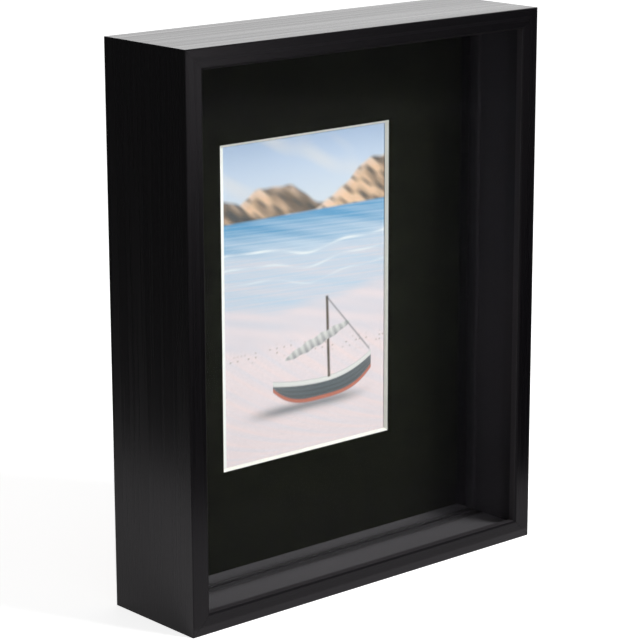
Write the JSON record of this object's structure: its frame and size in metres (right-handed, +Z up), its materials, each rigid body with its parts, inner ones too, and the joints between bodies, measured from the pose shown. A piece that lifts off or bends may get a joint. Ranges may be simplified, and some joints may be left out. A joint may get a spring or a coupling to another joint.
{
  "type": "shadow box frame",
  "caption": "Deep box picture frame with mitred rails, glass, inner spacers, a bevelled mount over a print, and a turn-button back with ring hangers.",
  "frame": {"origin": "on the standing surface, under the middle of the frame's width and depth", "axes": "+X to the right as seen from the front, +Y from the glass to the back board, +Z up from the bottom rail to the top rail"},
  "size_m": [0.21, 0.0564, 0.26],
  "materials": {
    "foil_frame": "black satin foil over fibreboard, fine lengthwise grain",
    "foil_inner": "black satin foil over thin fibreboard strip",
    "glass": "clear float glass",
    "mount_board": "matt black paper facing over a white core",
    "photo_print": null,
    "grey_card": "uncoated grey card",
    "hardboard": "smooth brown hardboard",
    "zinc_steel": "bright zinc plating on stamped sheet and wire"
  },
  "bodies": {
    "frame": {"rail_top": "foil_frame", "rail_bottom": "foil_frame", "rail_left": "foil_frame", "rail_right": "foil_frame", "spacer_left": "foil_inner", "spacer_top": "foil_inner", "spacer_right": "foil_inner", "spacer_bottom": "foil_inner", "fillet_left": "foil_inner", "fillet_top": "foil_inner", "fillet_right": "foil_inner", "fillet_bottom": "foil_inner", "corner_nail_top_left": "zinc_steel", "corner_nail_top_right": "zinc_steel", "corner_nail_bottom_left": "zinc_steel", "corner_nail_bottom_right": "zinc_steel", "button_rivet_upper_left": "zinc_steel", "button_rivet_upper_right": "zinc_steel", "button_rivet_lower_left": "zinc_steel", "button_rivet_lower_right": "zinc_steel", "hanger_strap_portrait": "zinc_steel", "hanger_rivet_portrait": "zinc_steel", "hanger_strap_landscape": "zinc_steel", "hanger_rivet_landscape": "zinc_steel", "glass_pane": "glass", "mount_board": "mount_board", "photo_print": "photo_print", "backing_card": "grey_card", "back_board": "hardboard"},
    "turn_button_upper_left": {"turn_button_upper_left": "zinc_steel"},
    "turn_button_upper_right": {"turn_button_upper_right": "zinc_steel"},
    "turn_button_lower_left": {"turn_button_lower_left": "zinc_steel"},
    "turn_button_lower_right": {"turn_button_lower_right": "zinc_steel"},
    "hanger_ring_portrait": {"hanger_ring_portrait": "zinc_steel"},
    "hanger_ring_landscape": {"hanger_ring_landscape": "zinc_steel"}
  },
  "joints": [
    {"name": "turn_upper_left", "type": "hinge", "parent": "frame", "child": "turn_button_upper_left", "pos_m": [-0.0885, 0.02345, 0.1925], "axis": [0, 1, 0], "continuous": true},
    {"name": "turn_upper_right", "type": "hinge", "parent": "frame", "child": "turn_button_upper_right", "pos_m": [0.0885, 0.02345, 0.1925], "axis": [0, 1, 0], "continuous": true},
    {"name": "turn_lower_left", "type": "hinge", "parent": "frame", "child": "turn_button_lower_left", "pos_m": [-0.0885, 0.02345, 0.0675], "axis": [0, 1, 0], "continuous": true},
    {"name": "turn_lower_right", "type": "hinge", "parent": "frame", "child": "turn_button_lower_right", "pos_m": [0.0885, 0.02345, 0.0675], "axis": [0, 1, 0], "continuous": true},
    {"name": "swing_portrait", "type": "hinge", "parent": "frame", "child": "hanger_ring_portrait", "pos_m": [0, 0.02505, 0.233], "axis": [1, 0, 0], "range_deg": [0, 180]},
    {"name": "swing_landscape", "type": "hinge", "parent": "frame", "child": "hanger_ring_landscape", "pos_m": [0.078, 0.02505, 0.13], "axis": [0, 0, -1], "range_deg": [0, 180]}
  ]
}
